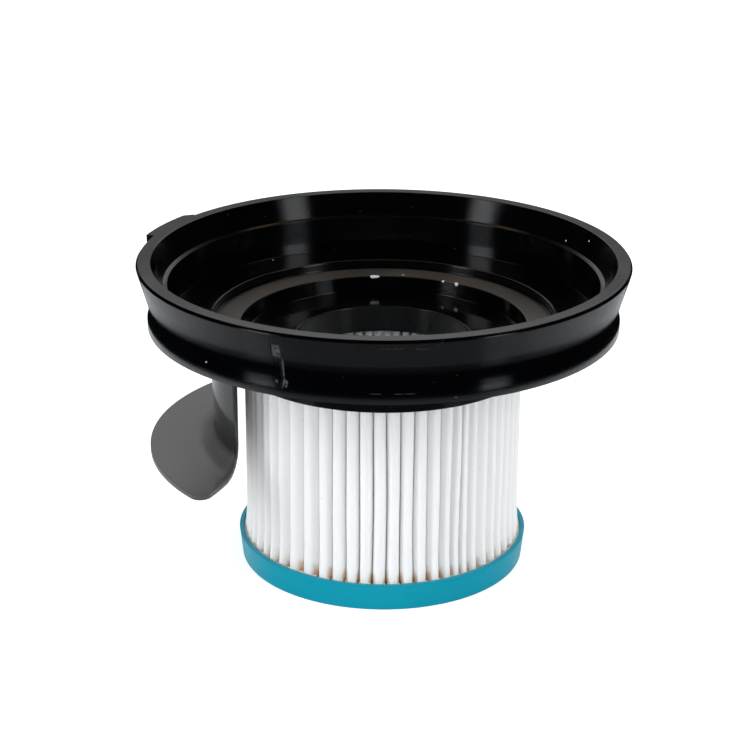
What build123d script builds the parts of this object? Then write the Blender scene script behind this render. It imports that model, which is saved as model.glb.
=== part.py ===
from build123d import *
import math
import os

# A vacuum cleaner filter: a moulded dish with a flange, an air hole and a side vane
# carries a cylinder of pleated paper, which a closed cap ends below.
# Millimetres. The axis is Z, the cap's underside is z = 0 and the front faces -Y.

# Pleated paper
pleat_count = 62
media_radius = 37.6
media_length = 57.7
media_thickness = 0.5
outer_fold_width = 1.3
inner_fold_width = 1.0

# End cap, a shallow tray that the lower pleat ends are potted in
cap_floor = 1.8
cap_height = 7.2
cap_wall = 1.2
cap_draft = 0.75
cap_clearance = 0.9

# Adhesive at both ends of the paper
bed_thickness = 0.8
potting_rim_gap = 0.5
potting_inner_bead = 1.2
adhesive_wall_clearance = 0.1

# Air hole, a short tube through the dish's floor
hole_radius = 23.9
tube_wall = 1.8
tube_reach = 6.0
media_tube_clearance = 0.7

# Collar around the upper pleat ends
collar_wall = 2.1
collar_reach = 4.6
media_collar_clearance = 0.9

# Stepped inside of the dish, from the rim's top face down
floor_thickness = 1.3
upper_wall_drop = 6.2
lower_wall_drop = 9.7
step_drop = 2.4
well_drop = 4.2
upper_wall_run = 3.0
upper_ledge_width = 1.3
lower_wall_run = 0.4
lower_ledge_width = 7.3
well_wall_run = 0.8

# Rim, outer wall that tapers to a waist, and the flange that it flares out to
rim_radius = 65.8
rim_width = 4.0
rim_bevel = 0.7
waist_setback = 3.7
waist_rise = 2.0
flange_setback = 2.75
flange_thickness = 2.1

# Locating tab on the rim, in degrees from -X towards the back
tab_reach = 1.65
tab_thickness = 2.0
tab_start = 15.0
tab_end = 32.5
tab_ramp = 2.0

# Air vane under the flange, a sheet that hangs down and turns out, in degrees from -X towards the front
vane_gap = 3.4
vane_wall = 1.6
vane_plate_thickness = 1.4
vane_depth = 51.2
vane_setback = 2.4
vane_back_inset = 0.8
vane_bend = 5.5
vane_bend_flats = 4
vane_root_back = -19.0
vane_root_front = 30.5
vane_tip_back = -42.0
vane_tip_front = 43.5
vane_edge_bulge = 0.9
vane_tip_round = 3.0

# Radii that follow from the sizes above
collar_inner_radius = media_radius + media_collar_clearance
collar_radius = collar_inner_radius + collar_wall
tube_radius = hole_radius + tube_wall
media_inner_radius = tube_radius + media_tube_clearance
well_radius = collar_inner_radius
well_foot_radius = well_radius - well_wall_run
step_radius = well_radius + lower_ledge_width
rim_inner_radius = rim_radius - rim_width
upper_wall_foot_radius = rim_inner_radius - upper_wall_run
upper_ledge_radius = upper_wall_foot_radius - upper_ledge_width
dish_corner_radius = upper_ledge_radius - lower_wall_run
waist_radius = rim_radius - waist_setback
flange_radius = rim_radius - flange_setback
cap_inner_radius = media_radius + cap_clearance
cap_radius = cap_inner_radius + cap_wall
vane_inner_radius = collar_radius + vane_gap
vane_wall_radius = vane_inner_radius + vane_wall
vane_radius = rim_radius - vane_setback

# Heights that follow, from the cap up to the rim
media_bottom = cap_floor + bed_thickness
media_top = media_bottom + media_length
channel_top = media_top + bed_thickness
well_floor = channel_top + floor_thickness
lower_ledge = well_floor + well_drop
dish_floor = lower_ledge + step_drop
upper_ledge = dish_floor + lower_wall_drop
rim_top = upper_ledge + upper_wall_drop
collar_bottom = channel_top - collar_reach
tube_bottom = channel_top - tube_reach
ledge_underside = lower_ledge - floor_thickness
dish_underside = dish_floor - floor_thickness
flange_top = dish_underside + flange_thickness
waist = flange_top + waist_rise
vane_top = rim_top - vane_depth
vane_bottom = vane_top - vane_plate_thickness


def polar(radius, degrees):
    """A point in plan, by its radius and its angle from +X."""
    angle = math.radians(degrees)
    return (radius * math.cos(angle), radius * math.sin(angle))


def turned(section, start=0.0, sweep=360.0):
    """Revolves a section, drawn as radius and height, about the axis from one angle through another."""
    solid = revolve(Plane.XZ * section, Axis.Z, sweep)
    return Rot(0, 0, start) * solid


def bevelled(corners):
    """A closed section from its corners, each given as radius, height and the bevel that cuts it off."""
    places = [Vector(radius, height) for radius, height, bevel in corners]
    points = []
    for index, place in enumerate(places):
        bevel = corners[index][2]
        following = places[(index + 1) % len(places)]
        points.append(place + (places[index - 1] - place).normalized() * bevel)
        if bevel > 0:
            points.append(place + (following - place).normalized() * bevel)
    return make_face(Polyline(*points, close=True))


def bent(corners, flats):
    """A closed section from its corners, each given as radius, height and bend radius; flats draw a bend."""
    places = [(radius, height) for radius, height, bend in corners]
    outline = FilletPolyline(*places, radius=[corner[2] for corner in corners], close=True)
    points = []
    for edge in outline.order_edges():
        steps = flats if edge.geom_type == GeomType.CIRCLE else 1
        points += [edge @ (step / steps) for step in range(steps)]
    return make_face(Polyline(*points, close=True))


def ring(inner, outer, bottom, top):
    """A plain ring between two radii and two heights."""
    plan = Circle(outer) - Circle(inner)
    return Pos(0, 0, bottom) * extrude(plan, top - bottom)


def fold_line(side):
    """The closed zigzag of the pleats, moved out of the paper's middle by side."""
    crown = media_radius - media_thickness / 2
    root = media_inner_radius + media_thickness / 2
    points = []
    for index in range(pleat_count):
        axis = 360 * index / pleat_count
        valley = axis + 180 / pleat_count
        fold = math.degrees((outer_fold_width / 2 + side) / crown)
        notch = math.degrees((inner_fold_width / 2 - side) / root)
        points.append(polar(crown + side, axis - fold))
        points.append(polar(crown + side, axis + fold))
        points.append(polar(root + side, valley - notch))
        points.append(polar(root + side, valley + notch))
    return make_face(Polyline(*points, close=True))


def media_plan():
    """The folded sheet as seen from above."""
    return fold_line(media_thickness / 2) - fold_line(-media_thickness / 2)


def pleated_media():
    """The paper, folded into upright pleats and closed to a cylinder."""
    return Pos(0, 0, media_bottom) * extrude(media_plan(), media_length)


def end_cap():
    """A closed tray with a low wall that leans out a little."""
    corners = [
        (0, 0),
        (cap_radius - cap_draft, 0),
        (cap_radius, cap_height),
        (cap_inner_radius, cap_height),
        (cap_inner_radius, cap_floor),
        (0, cap_floor),
    ]
    return turned(make_face(Polyline(*corners, close=True)))


def lower_adhesive(media):
    """Potting in the tray, with the pleat ends standing in it."""
    inner = media_inner_radius - potting_inner_bead
    outer = cap_inner_radius - adhesive_wall_clearance
    return ring(inner, outer, cap_floor, cap_height - potting_rim_gap) - media


def upper_adhesive():
    """A thin bed that bonds the upper pleat ends to the roof of the holder's channel."""
    inner = tube_radius + adhesive_wall_clearance
    outer = collar_inner_radius - adhesive_wall_clearance
    return ring(inner, outer, media_top, channel_top)


def dish():
    """The turned body of the holder: hole, well, ledges, rim, outer wall, flange, collar and tube."""
    corners = [
        (hole_radius, tube_bottom, 0),
        (hole_radius, well_floor, 0),
        (well_foot_radius, well_floor, 0),
        (well_radius, lower_ledge, 0),
        (step_radius, lower_ledge, 0),
        (step_radius, dish_floor, 0),
        (dish_corner_radius, dish_floor, 0),
        (upper_ledge_radius, upper_ledge, 0),
        (upper_wall_foot_radius, upper_ledge, 0),
        (rim_inner_radius, rim_top, 0),
        (rim_radius, rim_top, rim_bevel),
        (waist_radius, waist, 0),
        (flange_radius, flange_top, 0),
        (flange_radius, dish_underside, 0),
        (step_radius + floor_thickness, dish_underside, 0),
        (step_radius + floor_thickness, ledge_underside, 0),
        (collar_radius, ledge_underside, 0),
        (collar_radius, collar_bottom, 0),
        (collar_inner_radius, collar_bottom, 0),
        (collar_inner_radius, channel_top, 0),
        (tube_radius, channel_top, 0),
        (tube_radius, tube_bottom, 0),
    ]
    return turned(bevelled(corners))


def rim_tab():
    """A low locating tab, flush with the rim's top, with a ramp at its far end."""
    root = rim_radius - rim_width / 2
    tip = rim_radius + tab_reach
    start = 180 - tab_start
    end = 180 - tab_end
    ramp = end - tab_ramp
    edge = [
        Line(polar(root, start), polar(tip, start)),
        ThreePointArc(polar(tip, start), polar(tip, (start + end) / 2), polar(tip, end)),
        Line(polar(tip, end), polar(rim_radius, ramp)),
        Line(polar(rim_radius, ramp), polar(root, ramp)),
        ThreePointArc(polar(root, ramp), polar(root, (ramp + start) / 2), polar(root, start)),
    ]
    return Pos(0, 0, rim_top - tab_thickness) * extrude(make_face(edge), tab_thickness)


def bulged(first, last, bulge):
    """An edge from one point to another that bows to its right by bulge at its middle."""
    middle = (Vector(*first) + Vector(*last)) / 2
    along = (Vector(*last) - Vector(*first)).normalized()
    return ThreePointArc(first, middle + Vector(along.Y, -along.X) * bulge, last)


def vane_plan():
    """The vane's outline from above, with bowed ends and rounded tips."""
    back_root = polar(vane_inner_radius, 180 + vane_root_back)
    front_root = polar(vane_inner_radius, 180 + vane_root_front)
    back_tip = polar(vane_radius - vane_back_inset, 180 + vane_tip_back)
    front_tip = polar(vane_radius, 180 + vane_tip_front)
    inner_middle = polar(vane_inner_radius, 180 + (vane_root_back + vane_root_front) / 2)
    outer_middle = polar(vane_radius, 180 + (vane_tip_back + vane_tip_front) / 2)
    edge = [
        ThreePointArc(front_root, inner_middle, back_root),
        bulged(back_root, back_tip, vane_edge_bulge),
        ThreePointArc(back_tip, outer_middle, front_tip),
        bulged(front_tip, front_root, vane_edge_bulge),
    ]
    plan = make_face(edge)
    tips = plan.vertices().sort_by(lambda corner: Vector(*corner).length)[-2:]
    return fillet(tips, vane_tip_round)


def vane():
    """The sheet in section, turned about the axis and cut to its outline."""
    root = lower_ledge - floor_thickness / 2
    corners = [
        (vane_inner_radius, root, 0),
        (step_radius + floor_thickness, root, 0),
        (vane_wall_radius, vane_top, vane_bend),
        (rim_radius, vane_top, 0),
        (rim_radius, vane_bottom, 0),
        (vane_inner_radius, vane_bottom, vane_bend + vane_plate_thickness),
    ]
    spread = vane_tip_front - vane_tip_back
    sheet = turned(bent(corners, vane_bend_flats), 180 + 2 * vane_tip_back, 2 * spread)
    outline = Pos(0, 0, vane_bottom) * extrude(vane_plan(), root - vane_bottom)
    return sheet & outline


def filter_holder():
    """The one moulding that carries everything else."""
    return dish() + rim_tab() + vane()


def main():
    os.makedirs("parts", exist_ok=True)
    media = pleated_media()
    nodes = {
        "filter_holder": filter_holder(),
        "pleated_media": media,
        "end_cap": end_cap(),
        "lower_adhesive": lower_adhesive(media),
        "upper_adhesive": upper_adhesive(),
    }
    for name, solid in nodes.items():
        export_step(solid, f"parts/{name}.step")


main()
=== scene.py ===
import math
import random

import bpy
from mathutils import Matrix, Vector


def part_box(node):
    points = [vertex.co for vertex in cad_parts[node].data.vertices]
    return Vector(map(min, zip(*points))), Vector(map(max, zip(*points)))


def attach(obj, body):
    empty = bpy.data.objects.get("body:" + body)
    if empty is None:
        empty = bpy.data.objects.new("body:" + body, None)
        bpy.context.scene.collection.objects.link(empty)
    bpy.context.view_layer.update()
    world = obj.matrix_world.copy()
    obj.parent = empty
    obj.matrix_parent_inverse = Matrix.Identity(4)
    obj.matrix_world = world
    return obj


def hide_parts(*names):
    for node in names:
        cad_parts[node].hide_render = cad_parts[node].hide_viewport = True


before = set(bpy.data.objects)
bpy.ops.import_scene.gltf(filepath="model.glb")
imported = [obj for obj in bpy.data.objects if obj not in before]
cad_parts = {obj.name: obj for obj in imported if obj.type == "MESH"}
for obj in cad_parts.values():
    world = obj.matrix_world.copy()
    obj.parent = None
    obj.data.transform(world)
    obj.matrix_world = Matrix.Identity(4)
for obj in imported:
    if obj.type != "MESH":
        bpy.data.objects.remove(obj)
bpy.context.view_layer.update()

# A used vacuum cleaner filter on a white table: glossy black dish and vane, white pleated paper, teal cap.
# Metres. Bearings are degrees about the axis from the camera's side (-Y), positive to the right (+X).

media_low, media_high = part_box("pleated_media")
cap_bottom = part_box("end_cap")[0].z
glue_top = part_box("lower_adhesive")[1].z
mm = 0.001

# Camera, fitted to the ellipses of the rim, the ledges and the cap
camera_place = Vector((0, -0.49533, 0.24317))
camera_pitch = 21.208
camera_yaw = -0.255
camera_roll = -0.335
camera_lens = 93.83
camera_sensor = 36
camera_clip = 0.01

# Pleats. Their valleys are open at the shoulder and almost close at the throat, which lies deeper
pleat_count = 62
pleat_levels = 22
pleat_depth = 11.0 * mm
paper_thickness = 0.5 * mm
fold_width = 0.9 * mm
root_width = 2.6 * mm
shoulder_depth = 0.9 * mm
shoulder_gap = 0.95 * mm
throat_depth = 2.5 * mm
throat_gap = 0.05 * mm

# Most that half a fold, half a shoulder's gap and half a root take of the way to the next fold
fold_share = 0.27
shoulder_share = 0.25
root_share = 0.45

# Flare of the paper where it sinks into the potting: how far, and the middle and half of its run in height
foot_flare = 0.55 * mm
flare_middle = 10.0 * mm
flare_half = 4.0 * mm

# Unevenness of the pleats: degrees that they are scattered, lean and wave by, run and start of the wave,
# and the millimetres that a fold may stand back
pleat_seed = 7
first_bearing = -1.0
pleat_scatter = 0.35
pleat_lean = 0.45
pleat_wave = 0.5
wave_run = 4
wave_start = 9
stand_back = (0.05, 0.35)

# Places where the pleats crowd or gape: bearing, half the stretch it takes, degrees that the rest shifts by
pleat_shifts = [(-31.0, 12.0, 4.2), (37.0, 7.0, -4.6), (95.0, 20.0, 2.4), (160.0, 15.0, -2.0)]

# Grooves that the turned mould left: how fine, how seldom steep, how steeply they can tip the surface, and
# the upward part of the surface's direction over which they end
groove_fineness = 90000.0
groove_rarity = 5.0
groove_steepness = 0.85
groove_end = (0.25, 0.55)

# Outer wall: radii over which it begins, heights of its flange and of the hollow curve above it, and the tilt
# of the faces there
wall_begins = (61.85 * mm, 62.0 * mm)
flange_foot = 67.7 * mm
waist_foot = 70.0 * mm
waist_top = 80.0 * mm
flange_angle = -30.0
flare_angle = 15.0
taper_angle = -15.6

# Stretch of the outer wall that is polished, so that it has few grooves
polished_heights = (70.0 * mm, 76.0 * mm)
polished_soft = 1.5 * mm
polished_share = 0.9

# Dish: height and radii of the dusty lower ledge, heights and radii of the step beside it
ledge_height = 66.6 * mm
ledge_radii = (38.5 * mm, 45.2 * mm)
step_heights = (68.0 * mm, 69.2 * mm)
step_radii = (44.5 * mm, 47.5 * mm)

# Vane: where its dust begins and ends, where its plate's thicker dust and dullness end, and its bend's limits
vane_radii = (44.0 * mm, 46.0 * mm)
vane_tops = (62.0 * mm, 67.0 * mm)
plate_dust_tops = (36.0 * mm, 39.0 * mm)
plate_dull_tops = (38.0 * mm, 44.0 * mm)
plate_dullness = 0.22
bend_tops = (42.0 * mm, 43.0 * mm)
bend_radii = (55.0 * mm, 57.0 * mm)

# Radius of the rounded shading on every edge, and what the step and the vane's bend have more
edge_rounding = 0.4 * mm
step_rounding = 0.6 * mm
bend_rounding = 2.2 * mm

# Wear on the moulding, in degrees and millimetres. Chips, specks and the rim's nick: bearing, radius, height
# and size. The two white spots on the well's edge at bearings 154 and 147.5 are painted highlights, not chips
white_chips_and_glints = [
    (-175.0, 38.6, 66.5, 0.7), (-176.2, 38.5, 66.5, 0.7), (-177.4, 38.4, 66.4, 0.5), (172.0, 39.8, 66.6, 0.4),
    # The first two spots on the next row, on the well's edge, are painted highlights
    (154.0, 38.5, 66.5, 0.4), (147.5, 38.5, 66.3, 0.6), (-144.5, 55.4, 69.0, 0.3),
    (120.7, 59.4, 80.0, 0.3), (111.2, 60.7, 82.6, 0.3), (-44.6, 62.3, 71.3, 0.24),
]
grey_specks = [
    (-8.7, 62.9, 74.5, 0.25), (11.2, 62.4, 72.8, 0.3), (16.1, 63.0, 69.0, 0.25),
    (-24.3, 62.3, 71.3, 0.5), (-22.0, 62.3, 71.4, 0.6), (-21.9, 62.7, 70.5, 0.5),
]
rim_nick = (74.7, 63.4, 84.9, 1.2)
nick_bearings = (74.4, 75.0)

# Scratches, and the step where the mould's slides part: bearing and height from, bearing and height to
wall_scratches = [(-0.7, 82.8, 4.1, 82.8), (6.6, 82.7, 9.7, 82.5), (11.0, 82.4, 12.4, 84.6),
                  (-2.8, 70.4, -0.5, 70.4), (2.5, 70.4, 7.0, 70.4)]
parting_cuts = [(-24.75, 79.0, -24.3, 82.3), (-23.2, 69.9, -22.75, 77.7), (-23.9, 76.8, -23.85, 77.6)]
parting_burrs = [(-22.6, 70.0, -22.2, 77.7)]

# Half widths of those marks, in metres for the scratches and in degrees for the others, which are upright
scratch_half = 0.14 * mm
cut_half = 0.22
burr_half = 0.3

# Scraped patch above the step, seam of the slides, and how strongly the seam and the scratches show. The
# seam's pale line is partly a painted highlight along the edge there
patch_bearings = (-24.3, -22.5)
patch_heights = (78.2 * mm, 81.4 * mm)
seam_and_highlight_heights = (77.8 * mm, 78.0 * mm)
seam_and_highlight_strength = 0.12
scratch_strength = 0.38

# Fineness of the patterns, in cycles per metre
smudge_scale = 70
grain_scale = 900
lint_scale = 1400
fray_scale = 1300
fibre_scale = 2600
paper_cloud_scale = 120
paper_speck_scale = 900
soak_scale = 420
cap_cloud_scale = 90
cap_grain_scale = 1500
glue_scale = 260

# Lint and specks: the noise values over which they begin, and how strongly they show
lint_begins = (0.79, 0.83)
lint_strength = 0.1
paper_speck_begins = (0.80, 0.83)
paper_speck_strength = 0.35

# Surface of the black plastic: roughness from clean to smudged and where it is worn, height of the grain and
# of the cuts in units of the relief, and how far noise moves the edges of chips
smudged_roughness = (0.08, 0.14)
worn_roughness = 0.6
grain_height = 0.04
cut_height = -2.0
relief_unit = 0.1 * mm
fray_reach = 0.9 * mm

# Stain at the paper's foot: half the height over which it ends, how far it soaks up unevenly, its strength
stain_half = 1.6 * mm
soak_rise = 4.0 * mm
stain_strength = 0.7

# Colours
black_clean = (0.0004, 0.0005, 0.0008)
black_smudged = (0.0009, 0.0011, 0.0016)
ledge_dust_colour = (0.05, 0.044, 0.039)
vane_dust_colour = (0.1, 0.1, 0.1)
lint_colour = (0.5, 0.48, 0.45)
scratch_colour = (0.06, 0.066, 0.076)
# Also the colour of the painted highlights on the well's edge
chip_and_glint_colour = (0.75, 0.74, 0.72)
paper_whites = ((0.92, 0.93, 0.93), (0.95, 0.95, 0.945))
paper_stain_colour = (0.62, 0.40, 0.22)
paper_speck_colour = (0.35, 0.34, 0.32)
cap_teals = ((0.0006, 0.29, 0.40), (0.0010, 0.325, 0.445))
glue_ambers = ((0.62, 0.42, 0.25), (0.48, 0.29, 0.15))
glue_edge_colour = (0.78, 0.74, 0.68)
lamp_colour = (0.92, 0.96, 1.0)
ceiling_colour = (1.0, 0.72, 0.42)
table_mirror_colour = (0.92, 0.97, 1.0)

# Level of the room's light on matt surfaces
ambient_level = 0.8

# Room that shows in the gloss: white behind the filter, with a warm band of ceiling. Each entry gives where a
# change starts and ends, and the level before and after it
back_by_depth = (0.55, 0.94, 0.01, 1.3)
back_by_bearing = (138, 166, 0.04, 1)
back_by_height = (0.30, 0.42, 0.22, 1)
ceiling_foot = (0.76, 0.84, 0, 2.0)
ceiling_top = (0.86, 0.92, 1, 0)
ceiling_by_depth = (0, 0.2, 0, 1)

# Table: half its side, its drop below the cap, its grey, the light that it adds for the camera, and its level
# in the gloss, which rises with the bearing near the filter and fades beyond a limit. That level is painted
# light
table_reach = 4.0
table_drop = 0.05 * mm
table_grey = 0.8
table_lift = 0.6
table_side = (25, 85)
table_near = (0, 1, 0.3, 0.75)
table_limit = (50, 150, 0.134, 0.21)
table_fade = 0.03
table_far_level = 0.004

# Softboxes: name, bearing, half their width in degrees, radiance of the card, power of the lamp
softboxes = [("key", -57.5, 9.0, 7.0, 6.0), ("fill", 52.0, 9.0, 6.5, 4.2)]
softbox_distance = 1.1
softbox_bottom = 0.05
softbox_top = 0.95
softbox_aim = Vector((0, 0, 0.05))

# Cards that stand for the softboxes in the gloss: where the upper part dims and to what share, where the foot
# dims, and the share of half the width over which the sides are soft
card_upper = (0.52, 0.62)
card_upper_share = 0.25
card_foot = (0.25, 0.34, 0.1, 1)
card_soft_share = 0.3


def new_material(name):
    """An empty node material and its tree."""
    material = bpy.data.materials.new(name)
    material.use_nodes = True
    material.node_tree.nodes.clear()
    return material, material.node_tree


def add(tree, kind, inputs=None, **settings):
    """Adds a shader node; each input is a plain value or the output socket that feeds it."""
    node = tree.nodes.new("ShaderNode" + kind)
    for key, value in settings.items():
        setattr(node, key, value)
    for key, value in (inputs or {}).items():
        if isinstance(value, bpy.types.NodeSocket):
            tree.links.new(value, node.inputs[key])
        else:
            node.inputs[key].default_value = value
    return node


def maths(tree, operation, first, second=0.0, third=0.0):
    """One arithmetic step on values or sockets."""
    return add(tree, "Math", {0: first, 1: second, 2: third}, operation=operation).outputs[0]


def product(tree, first, second):
    """Two values or masks multiplied."""
    return maths(tree, "MULTIPLY", first, second)


def vectors(tree, operation, first, second=(0, 0, 0)):
    """One step on vectors."""
    return add(tree, "VectorMath", {0: first, 1: second}, operation=operation).outputs["Vector"]


def scaled(tree, vector, factor):
    """A vector times a number."""
    return add(tree, "VectorMath", {0: vector, "Scale": factor}, operation="SCALE").outputs["Vector"]


def ramp(tree, value, low, high, start=0.0, end=1.0):
    """Runs smoothly from start to end while value goes from low to high."""
    settings = {"Value": value, "From Min": low, "From Max": high, "To Min": start, "To Max": end}
    return add(tree, "MapRange", settings, interpolation_type="SMOOTHSTEP").outputs["Result"]


def between(tree, share, first, second):
    """Blends two values by share."""
    return add(tree, "Mix", {"Factor": share, "A": first, "B": second}).outputs["Result"]


def mix(tree, share, first, second):
    """Blends two colours by share."""
    node = add(tree, "Mix", {"Factor": share}, data_type="RGBA")
    for socket, colour in ((node.inputs["A"], first), (node.inputs["B"], second)):
        if isinstance(colour, bpy.types.NodeSocket):
            tree.links.new(colour, socket)
        else:
            socket.default_value = (*colour, 1)
    return node.outputs["Result"]


def bearing_of(tree, split):
    """The bearing of a direction or place that is split into its axes."""
    ahead = product(tree, split.outputs["Y"], -1.0)
    return maths(tree, "DEGREES", maths(tree, "ARCTAN2", split.outputs["X"], ahead))


def places(tree):
    """The point being shaded in the object's frame: the vector, and its radius, bearing and height."""
    point = add(tree, "TexCoord").outputs["Object"]
    split = add(tree, "SeparateXYZ", {0: point})
    square = maths(tree, "ADD", maths(tree, "POWER", split.outputs["X"], 2.0),
                   maths(tree, "POWER", split.outputs["Y"], 2.0))
    return point, maths(tree, "SQRT", square), bearing_of(tree, split), split.outputs["Z"]


def noise(tree, vector, scale, detail=4.0, roughness=0.5):
    """A noise value between about 0 and 1."""
    inputs = {"Vector": vector, "Scale": scale, "Detail": detail, "Roughness": roughness}
    return add(tree, "TexNoise", inputs).outputs["Fac"]


def stretched(tree, vector, scale):
    """The vector with its axes scaled, for grain that runs one way."""
    return add(tree, "Mapping", {"Vector": vector, "Scale": scale}).outputs["Vector"]


def finish_material(material, tree, shader):
    """Wires the shader to the material's output."""
    output = add(tree, "OutputMaterial")
    tree.links.new(shader.outputs[0], output.inputs["Surface"])
    return material


def window(tree, value, low, high, soft):
    """1 between low and high and 0 outside, with soft ends."""
    rise = ramp(tree, value, low - soft, low + soft)
    return product(tree, rise, ramp(tree, value, high - soft, high + soft, 1, 0))


def line_mark(tree, along, across, start, end, half, soft):
    """A thin mark from start to end, each a place along and a place across; half is half its width."""
    slope = (end[1] - start[1]) / (end[0] - start[0])
    middle = maths(tree, "MULTIPLY_ADD", maths(tree, "SUBTRACT", along, start[0]), slope, start[1])
    off = maths(tree, "ABSOLUTE", maths(tree, "SUBTRACT", across, middle))
    thin = ramp(tree, off, 0.4 * half, half, 1, 0)
    return product(tree, thin, window(tree, along, start[0], end[0], soft))


def on_circle(radius, bearing):
    """A point in plan."""
    angle = math.radians(bearing)
    return Vector((radius * math.sin(angle), -radius * math.cos(angle)))


def spot(tree, point, bearing, radius, height, size):
    """A small round mark at a place on the body."""
    place = (*on_circle(radius * mm, bearing), height * mm)
    away = add(tree, "VectorMath", {0: point, 1: place}, operation="DISTANCE").outputs["Value"]
    return ramp(tree, away, 0.6 * size * mm, size * mm, 1, 0)


def all_of(tree, masks):
    """The strongest of several masks."""
    joined = masks[0]
    for mask in masks[1:]:
        joined = maths(tree, "MAXIMUM", joined, mask)
    return joined


def turned_marks(tree, point, normal, polished):
    """Tips the normal at random across fine turned grooves, so that lights smear across them."""
    around = add(tree, "Tangent", direction_type="RADIAL", axis="Z").outputs["Tangent"]
    across = vectors(tree, "CROSS_PRODUCT", normal, around)
    chance = add(tree, "TexWhiteNoise", {"Vector": scaled(tree, point, groove_fineness)}).outputs["Value"]
    tip = maths(tree, "POWER", maths(tree, "MULTIPLY_ADD", chance, 2.0, -1.0), groove_rarity)
    upward = maths(tree, "ABSOLUTE", add(tree, "SeparateXYZ", {0: normal}).outputs["Z"])
    steepness = ramp(tree, upward, *groove_end, groove_steepness, 0)
    steepness = product(tree, steepness, maths(tree, "SUBTRACT", 1.0, polished))
    lean = scaled(tree, across, product(tree, tip, steepness))
    return vectors(tree, "NORMALIZE", vectors(tree, "ADD", normal, lean))


def hollow_waist(tree, point, height, outside, normal):
    """Shades the foot of the outer wall as one hollow curve from its taper out to the flange."""
    outward = vectors(tree, "NORMALIZE", vectors(tree, "MULTIPLY", point, (1, 1, 0)))
    angles = (flange_angle, flare_angle, taper_angle)
    below, flare, taper = [math.tan(math.radians(angle)) for angle in angles]
    flange = ramp(tree, height, flange_foot, waist_foot - 0.2 * mm, below, 0)
    hollow = ramp(tree, height, waist_foot, waist_top, flare, taper)
    above = ramp(tree, height, waist_foot - 0.25 * mm, waist_foot - 0.15 * mm)
    upward = add(tree, "CombineXYZ", {"Z": between(tree, above, flange, hollow)}).outputs[0]
    curved = vectors(tree, "NORMALIZE", vectors(tree, "ADD", outward, upward))
    share = window(tree, height, flange_foot + 0.1 * mm, waist_top + 0.5 * mm, 0.1 * mm)
    share = product(tree, share, outside)
    blend = add(tree, "Mix", {"Factor": share, 4: normal, 5: curved}, data_type="VECTOR")
    return vectors(tree, "NORMALIZE", blend.outputs[1])


def rounded_edges(tree, radius, height):
    """The normal with rounded edges, more at the dish's step and in the vane's bend."""
    step = product(tree, window(tree, height, *step_heights, 0.1 * mm),
                   window(tree, radius, *step_radii, 0.1 * mm))
    bend = product(tree, ramp(tree, height, *bend_tops, 1, 0), ramp(tree, radius, *bend_radii, 1, 0))
    rounding = maths(tree, "MULTIPLY_ADD", bend, bend_rounding, edge_rounding)
    rounding = maths(tree, "MULTIPLY_ADD", step, step_rounding, rounding)
    return add(tree, "Bevel", {"Radius": rounding}, samples=8).outputs["Normal"]


def frayed_point(tree, point):
    """The point moved about by fine noise, so that spots get ragged edges."""
    ragged = add(tree, "TexNoise", {"Vector": point, "Scale": fray_scale, "Detail": 2.0}).outputs["Color"]
    jitter = scaled(tree, vectors(tree, "SUBTRACT", ragged, (0.5, 0.5, 0.5)), fray_reach)
    return vectors(tree, "ADD", point, jitter)


def ledge_dust(tree, radius, height, smudge):
    """Where dust lies on the dish's lower ledge."""
    off = maths(tree, "ABSOLUTE", maths(tree, "SUBTRACT", height, ledge_height))
    ledge = product(tree, window(tree, radius, *ledge_radii, 0.4 * mm),
                    ramp(tree, off, 0.15 * mm, 0.4 * mm, 1, 0))
    return product(tree, ledge, ramp(tree, smudge, 0.2, 0.8, 0.6, 1))


def vane_dust(tree, radius, height, smudge):
    """Where dust lies on the vane, most of it on the plate."""
    haze = product(tree, ramp(tree, height, *plate_dust_tops, 1, 0.3), ramp(tree, smudge, 0.25, 0.75, 0.7, 1))
    vane = product(tree, ramp(tree, radius, *vane_radii), ramp(tree, height, *vane_tops, 1, 0))
    return product(tree, haze, vane)


def upright_marks(tree, bearing, height, marks, half, soft):
    """Thin marks that run up the wall."""
    return [line_mark(tree, height, bearing, (h0 * mm, b0), (h1 * mm, b1), half, soft)
            for b0, h0, b1, h1 in marks]


def wall_marks(tree, frayed, bearing, height, grain):
    """Pale marks on the outer wall, among them the seam, which is partly a painted highlight, and the dark
    cuts of the step where the mould's slides part.
    """
    scuffs = [line_mark(tree, bearing, height, (b0, h0 * mm), (b1, h1 * mm), scratch_half, 0.4)
              for b0, h0, b1, h1 in wall_scratches]
    cuts = upright_marks(tree, bearing, height, parting_cuts, cut_half, 0.2 * mm)
    burrs = upright_marks(tree, bearing, height, parting_burrs, burr_half, 0.3 * mm)
    specks = [spot(tree, frayed, *speck) for speck in grey_specks]
    faint = product(tree, all_of(tree, scuffs), scratch_strength)
    patch = product(tree, window(tree, bearing, *patch_bearings, 0.25),
                    window(tree, height, *patch_heights, 0.4 * mm))
    # The pale seam line is partly the slides' seam and partly a painted highlight along the edge
    seam_and_highlight = product(tree, window(tree, height, *seam_and_highlight_heights, 0.1 * mm), seam_and_highlight_strength)
    broken = ramp(tree, grain, 0.35, 0.6, 0.25, 1)
    pale = product(tree, all_of(tree, burrs + specks + [faint, patch, seam_and_highlight]), broken)
    return pale, all_of(tree, cuts)


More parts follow.
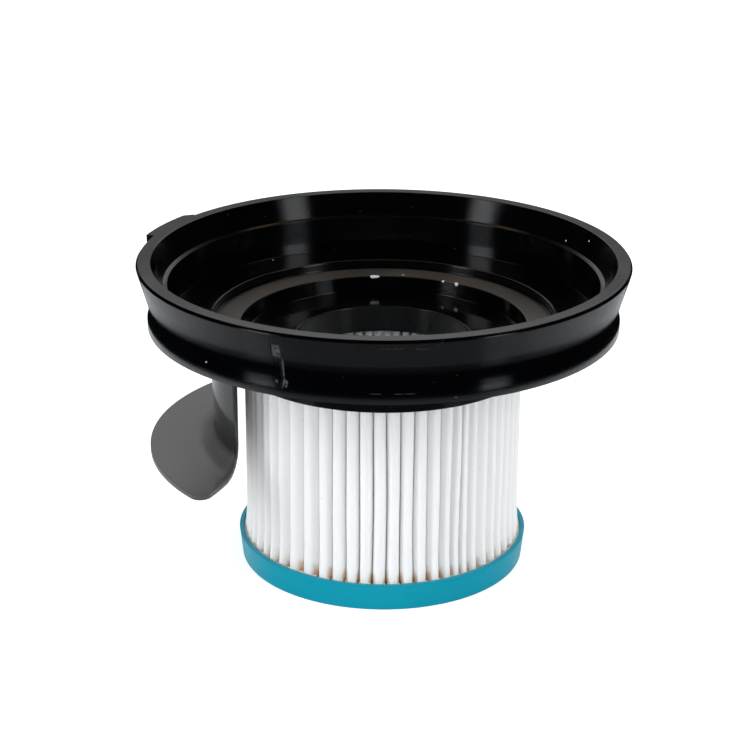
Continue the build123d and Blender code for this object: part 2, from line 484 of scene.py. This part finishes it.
def black_plastic():
    """Glossy black moulding, turned marks in its gloss, with dust, a parting step, scratches, chips and
    painted highlights.
    """
    material, tree = new_material("black_plastic")
    point, radius, bearing, height = places(tree)
    smudge = noise(tree, point, smudge_scale, 5, 0.6)
    grain = noise(tree, point, grain_scale, 3)
    outside = ramp(tree, radius, *wall_begins)
    frayed = frayed_point(tree, point)
    dust = ledge_dust(tree, radius, height, smudge)
    lint = product(tree, ramp(tree, noise(tree, point, lint_scale, 1), *lint_begins), lint_strength)
    pale, cut = [product(tree, mask, outside) for mask in wall_marks(tree, frayed, bearing, height, grain)]
    # Chips, and white spots that paint highlights on the well's edge
    chips_and_glints = all_of(tree, [spot(tree, frayed, *chip) for chip in white_chips_and_glints])
    layers = [
        (dust, ledge_dust_colour),
        (vane_dust(tree, radius, height, smudge), vane_dust_colour),
        (lint, lint_colour),
        (pale, scratch_colour),
        (chips_and_glints, chip_and_glint_colour),
    ]
    colour = mix(tree, smudge, black_clean, black_smudged)
    for mask, layer in layers:
        colour = mix(tree, mask, colour, layer)
    plate = ramp(tree, height, *plate_dull_tops, plate_dullness, 0)
    gloss = maths(tree, "ADD", ramp(tree, smudge, 0.3, 0.8, *smudged_roughness), plate)
    rough = between(tree, all_of(tree, [dust, chips_and_glints, cut]), gloss, worn_roughness)
    nick = product(tree, spot(tree, point, *rim_nick), window(tree, bearing, *nick_bearings, 0.15))
    dent = product(tree, all_of(tree, [cut, nick]), cut_height)
    relief = maths(tree, "ADD", product(tree, grain, grain_height), dent)
    normal = hollow_waist(tree, point, height, outside, rounded_edges(tree, radius, height))
    bump = add(tree, "Bump", {"Height": relief, "Strength": 1.0, "Distance": relief_unit, "Normal": normal})
    polished = product(tree, window(tree, height, *polished_heights, polished_soft),
                       product(tree, outside, polished_share))
    grooved = turned_marks(tree, point, bump.outputs["Normal"], polished)
    shader = add(tree, "BsdfPrincipled", {"Base Color": colour, "Roughness": rough, "IOR": 1.5,
                                          "Normal": grooved})
    return finish_material(material, tree, shader)


def filter_paper():
    """White fibrous paper with a few specks, stained by the potting at its foot."""
    material, tree = new_material("filter_paper")
    point, radius, _, height = places(tree)
    fibre = noise(tree, stretched(tree, point, (1.0, 1.0, 0.35)), fibre_scale, 4, 0.7)
    cloud = noise(tree, point, paper_cloud_scale, 4)
    soak = maths(tree, "ADD", height, product(tree, noise(tree, point, soak_scale, 3), -soak_rise))
    stain = ramp(tree, soak, glue_top - stain_half, glue_top + stain_half, 1, 0)
    inward = ramp(tree, radius, media_high.x - 1.3 * mm, media_high.x - 0.1 * mm, 1, 0)
    stain = product(tree, product(tree, stain, inward), stain_strength)
    specks = ramp(tree, noise(tree, point, paper_speck_scale, 1), *paper_speck_begins)
    specks = product(tree, specks, paper_speck_strength)
    colour = mix(tree, cloud, *paper_whites)
    colour = mix(tree, stain, colour, paper_stain_colour)
    colour = mix(tree, specks, colour, paper_speck_colour)
    bump = add(tree, "Bump", {"Height": fibre, "Strength": 0.25, "Distance": 0.15 * mm}).outputs["Normal"]
    shader = add(tree, "BsdfPrincipled", {"Base Color": colour, "Roughness": 0.9, "Normal": bump,
                                          "Specular IOR Level": 0.2, "Subsurface Weight": 0.8,
                                          "Subsurface Radius": (1, 1, 1), "Subsurface Scale": 0.8 * mm})
    return finish_material(material, tree, shader)


def teal_plastic():
    """Satin teal cap with faint moulding grain."""
    material, tree = new_material("teal_plastic")
    point = places(tree)[0]
    cloud = noise(tree, point, cap_cloud_scale, 4)
    grain = noise(tree, point, cap_grain_scale, 3)
    colour = mix(tree, cloud, *cap_teals)
    rough = ramp(tree, cloud, 0.3, 0.7, 0.3, 0.42)
    bump = add(tree, "Bump", {"Height": grain, "Strength": 0.06, "Distance": 0.1 * mm}).outputs["Normal"]
    round_edge = add(tree, "Bevel", {"Radius": 0.5 * mm, "Normal": bump}, samples=6).outputs["Normal"]
    shader = add(tree, "BsdfPrincipled", {"Base Color": colour, "Roughness": rough, "Normal": round_edge,
                                          "Specular IOR Level": 0.15})
    return finish_material(material, tree, shader)


def amber_adhesive():
    """Set potting, amber and uneven, paler at its edge."""
    material, tree = new_material("amber_adhesive")
    point, radius = places(tree)[:2]
    cloud = noise(tree, point, glue_scale, 4, 0.6)
    edge = ramp(tree, radius, media_high.x - 1.2 * mm, media_high.x - 0.3 * mm)
    colour = mix(tree, ramp(tree, cloud, 0.3, 0.7), *glue_ambers)
    colour = mix(tree, product(tree, edge, 0.85), colour, glue_edge_colour)
    bump = add(tree, "Bump", {"Height": cloud, "Strength": 0.4, "Distance": 0.4 * mm}).outputs["Normal"]
    shader = add(tree, "BsdfPrincipled", {"Base Color": colour, "Roughness": 0.45, "Normal": bump})
    return finish_material(material, tree, shader)


def smooth_step(value):
    """0 below -1, 1 above 1 and a smooth rise between."""
    share = min(1.0, max(0.0, (value + 1) / 2))
    return share * share * (3 - 2 * share)


def pleat_bearings(seeded):
    """The bearing of each fold, crowded and gaping as on the worn filter."""
    bearings = []
    for index in range(pleat_count):
        even = 360 * index / pleat_count
        even = even - 360 if even > 180 else even
        moved = even + first_bearing
        for middle, half, shift in pleat_shifts:
            moved += shift * (smooth_step((even - middle) / half) - (1 if middle < 0 else 0))
        bearings.append(moved + seeded.uniform(-pleat_scatter, pleat_scatter))
    return bearings


def corner_cut(points):
    """Rounds a closed line by cutting each corner off at a quarter of its sides."""
    cut = []
    for index, point in enumerate(points):
        following = points[(index + 1) % len(points)]
        cut.append(point.lerp(following, 0.25))
        cut.append(point.lerp(following, 0.75))
    return cut


def fold_line(folds):
    """The sheet's middle line at one height; each fold gives its bearing and radius."""
    points = []
    for index, (bearing, crown) in enumerate(folds):
        following = folds[(index + 1) % len(folds)][0]
        following = following + 360 if following < bearing else following
        before = folds[index - 1][0]
        before = before - 360 if before > bearing else before
        valley = (bearing + following) / 2
        pitch = following - bearing
        shoulder = crown - shoulder_depth
        throat = crown - throat_depth
        root = crown - pleat_depth
        wide = min(math.degrees(fold_width / 2 / crown), fold_share * pitch, fold_share * (bearing - before))
        lip = min(math.degrees(shoulder_gap / shoulder), shoulder_share * pitch)
        narrow = min(math.degrees(root_width / 2 / root), root_share * pitch)
        # Rounding leaves the throat 3/4 of its own gap and 1/8 of each gap beside it
        beside = math.radians(lip) * shoulder + math.radians(narrow) * root
        nearest = throat_gap + paper_thickness / 2
        close = math.degrees((nearest - beside / 8) / 0.75 / throat)
        points.append(on_circle(crown, bearing - wide))
        points.append(on_circle(crown, bearing + wide))
        falling = [(shoulder, lip), (throat, close), (root, narrow)]
        points.extend(on_circle(radius, valley - gap) for radius, gap in falling)
        points.extend(on_circle(radius, valley + gap) for radius, gap in reversed(falling))
    return corner_cut(corner_cut(points))


def sheet_faces(count):
    """Faces of the sheet's two sides, with count points to a level, and of its two ends."""
    faces = []
    ring = 2 * count
    top = ring * (pleat_levels - 1)
    for outer in range(0, top, ring):
        inner = outer + count
        for index in range(count):
            after = (index + 1) % count
            faces.append((outer + index, outer + after, outer + ring + after, outer + ring + index))
            faces.append((inner + after, inner + index, inner + ring + index, inner + ring + after))
    for index in range(count):
        after = (index + 1) % count
        faces.append((count + index, count + after, after, index))
        faces.append((top + index, top + after, top + count + after, top + count + index))
    return faces


def pleated_paper(paper):
    """The folded sheet as one closed mesh with rounded folds that wander a little on their way down."""
    seeded = random.Random(pleat_seed)
    bearings = sorted(pleat_bearings(seeded))
    outermost = media_high.x - paper_thickness / 2
    crowns = [outermost - seeded.uniform(*stand_back) * mm for bearing in bearings]
    leans = [seeded.uniform(-pleat_lean, pleat_lean) for bearing in bearings]
    waves = [seeded.uniform(-pleat_wave, pleat_wave) for bearing in bearings]
    vertices = []
    for level in range(pleat_levels):
        share = level / (pleat_levels - 1)
        belly = math.sin(math.pi * share)
        height = media_low.z + share * (media_high.z - media_low.z)
        flare = foot_flare * (1 - smooth_step((height - flare_middle) / flare_half))
        folds = []
        for bearing, crown, lean, wave in zip(bearings, crowns, leans, waves):
            shift = lean * (share - 0.5) + wave * belly * math.sin(wave_run * share + wave_start * wave)
            folds.append((bearing + shift, crown + flare))
        line = fold_line(folds)
        for side in (1, -1):
            for index, point in enumerate(line):
                along = line[(index + 1) % len(line)] - line[index - 1]
                out = Vector((along.y, -along.x)).normalized() * side * paper_thickness / 2
                vertices.append((point.x + out.x, point.y + out.y, height))
    mesh = bpy.data.meshes.new("pleated_paper")
    mesh.from_pydata(vertices, [], sheet_faces(len(line)))
    mesh.shade_smooth()
    piece = bpy.data.objects.new("pleated_paper", mesh)
    bpy.context.scene.collection.objects.link(piece)
    mesh.materials.append(paper)
    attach(piece, "root")
    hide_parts("pleated_media")


def dress_nodes():
    """Gives each carried-over solid its material."""
    amber = amber_adhesive()
    looks = {
        "filter_holder": black_plastic(),
        "end_cap": teal_plastic(),
        "lower_adhesive": amber,
        "upper_adhesive": amber,
    }
    for name, material in looks.items():
        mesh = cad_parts[name].data
        mesh.materials.clear()
        mesh.materials.append(material)


def make_camera():
    """The photograph's camera."""
    pitch, yaw, roll = [math.radians(angle) for angle in (camera_pitch, camera_yaw, camera_roll)]
    forward = Vector((math.sin(yaw) * math.cos(pitch), math.cos(yaw) * math.cos(pitch), -math.sin(pitch)))
    level = Vector((math.cos(yaw), -math.sin(yaw), 0))
    down = forward.cross(level)
    right = level * math.cos(roll) + down * math.sin(roll)
    below = down * math.cos(roll) - level * math.sin(roll)
    data = bpy.data.cameras.new("camera")
    data.lens = camera_lens
    data.sensor_width = camera_sensor
    data.clip_start = camera_clip
    camera = bpy.data.objects.new("camera", data)
    turn = Matrix((right, -below, -forward)).transposed().to_4x4()
    camera.matrix_world = Matrix.Translation(camera_place) @ turn
    bpy.context.scene.collection.objects.link(camera)
    bpy.context.scene.camera = camera


def white_world():
    """White to the camera; in reflections white behind the filter and dark on the camera's side."""
    world = bpy.data.worlds.new("studio")
    bpy.context.scene.world = world
    world.use_nodes = True
    tree = world.node_tree
    tree.nodes.clear()
    path = add(tree, "LightPath").outputs
    way = add(tree, "SeparateXYZ", {0: add(tree, "TexCoord").outputs["Generated"]})
    depth, height = way.outputs["Y"], way.outputs["Z"]
    turn = maths(tree, "ABSOLUTE", bearing_of(tree, way))
    behind = product(tree, ramp(tree, depth, *back_by_depth), ramp(tree, turn, *back_by_bearing))
    behind = product(tree, behind, ramp(tree, height, *back_by_height))
    ceiling = product(tree, ramp(tree, height, *ceiling_foot), ramp(tree, height, *ceiling_top))
    ceiling = product(tree, ceiling, ramp(tree, depth, *ceiling_by_depth))
    gloss = maths(tree, "MAXIMUM", behind, ceiling)
    ambient = between(tree, path["Is Glossy Ray"], ambient_level, gloss)
    seen = maths(tree, "MAXIMUM", path["Is Camera Ray"], path["Is Transmission Ray"])
    strength = maths(tree, "MAXIMUM", ambient, seen)
    warm = product(tree, ceiling, path["Is Glossy Ray"])
    tint = mix(tree, warm, (1, 1, 1), ceiling_colour)
    shine = add(tree, "Background", {"Color": tint, "Strength": strength})
    output = add(tree, "OutputWorld")
    tree.links.new(shine.outputs[0], output.inputs["Surface"])


def panel(name, corners, material):
    """A flat stage panel from its corners."""
    mesh = bpy.data.meshes.new(name)
    mesh.from_pydata(corners, [], [tuple(range(len(corners)))])
    mesh.materials.append(material)
    piece = bpy.data.objects.new(name, mesh)
    bpy.context.scene.collection.objects.link(piece)
    return piece


def white_floor():
    """A pale table that keeps the object's shadow and runs into the white background; in reflections it shows
    painted light.
    """
    material, tree = new_material("table")
    path = add(tree, "LightPath").outputs
    _, radius, bearing, _ = places(tree)
    turn = maths(tree, "ABSOLUTE", bearing)
    beyond = maths(tree, "SUBTRACT", radius, ramp(tree, turn, *table_limit))
    near = ramp(tree, ramp(tree, turn, *table_side), *table_near)
    gloss = between(tree, ramp(tree, beyond, 0, table_fade), near, table_far_level)
    matt = add(tree, "BsdfDiffuse", {"Color": (table_grey, table_grey, table_grey, 1)})
    glow = product(tree, path["Is Camera Ray"], table_lift)
    lift = add(tree, "Emission", {"Color": (1, 1, 1, 1), "Strength": glow})
    lit = add(tree, "AddShader", {0: matt.outputs[0], 1: lift.outputs[0]})
    # Painted reflection: the table glows brighter beside and behind the filter than in front, and dark
    # further out
    painted_reflection = add(tree, "Emission", {"Color": (*table_mirror_colour, 1), "Strength": gloss})
    both = add(tree, "MixShader", {"Fac": path["Is Glossy Ray"], 1: lit.outputs[0], 2: painted_reflection.outputs[0]})
    finish_material(material, tree, both)
    sides = [(-1, -1), (1, -1), (1, 1), (-1, 1)]
    corners = [(x * table_reach, y * table_reach, cap_bottom - table_drop) for x, y in sides]
    panel("table", corners, material)


def only_gloss(piece):
    """Leaves a card in reflections alone."""
    piece.visible_camera = False
    piece.visible_diffuse = False
    piece.visible_transmission = False
    piece.visible_volume_scatter = False
    piece.visible_shadow = False


def softbox(name, bearing, half_width, radiance, power):
    """A tall soft lamp beside the camera: an area lamp for its light and a card for its reflection."""
    data = bpy.data.lights.new(name, "AREA")
    data.shape = "RECTANGLE"
    data.size = 2 * softbox_distance * math.tan(math.radians(half_width))
    data.size_y = softbox_top - softbox_bottom
    data.energy = power
    data.color = lamp_colour
    lamp = bpy.data.objects.new(name, data)
    place = on_circle(softbox_distance, bearing)
    lamp.location = (place.x, place.y, (softbox_top + softbox_bottom) / 2)
    lamp.rotation_euler = (softbox_aim - lamp.location).to_track_quat("-Z", "Y").to_euler()
    lamp.visible_glossy = False
    bpy.context.scene.collection.objects.link(lamp)
    material, tree = new_material(name + "_card")
    _, _, around, height = places(tree)
    soft = card_soft_share * half_width
    strength = ramp(tree, height, *card_upper, radiance, card_upper_share * radiance)
    strength = product(tree, strength, ramp(tree, height, *card_foot))
    sides = window(tree, around, bearing - half_width + soft, bearing + half_width - soft, soft)
    strength = product(tree, strength, sides)
    finish_material(material, tree, add(tree, "Emission", {"Color": (*lamp_colour, 1), "Strength": strength}))
    left = on_circle(softbox_distance, bearing - half_width)
    right = on_circle(softbox_distance, bearing + half_width)
    corners = [(*left, softbox_bottom), (*right, softbox_bottom), (*right, softbox_top), (*left, softbox_top)]
    only_gloss(panel(name + "_card", corners, material))


def main():
    """Dresses the filter and sets the stage."""
    bpy.context.scene.view_settings.view_transform = "Standard"
    dress_nodes()
    pleated_paper(filter_paper())
    make_camera()
    white_world()
    white_floor()
    for box in softboxes:
        softbox(*box)


main()
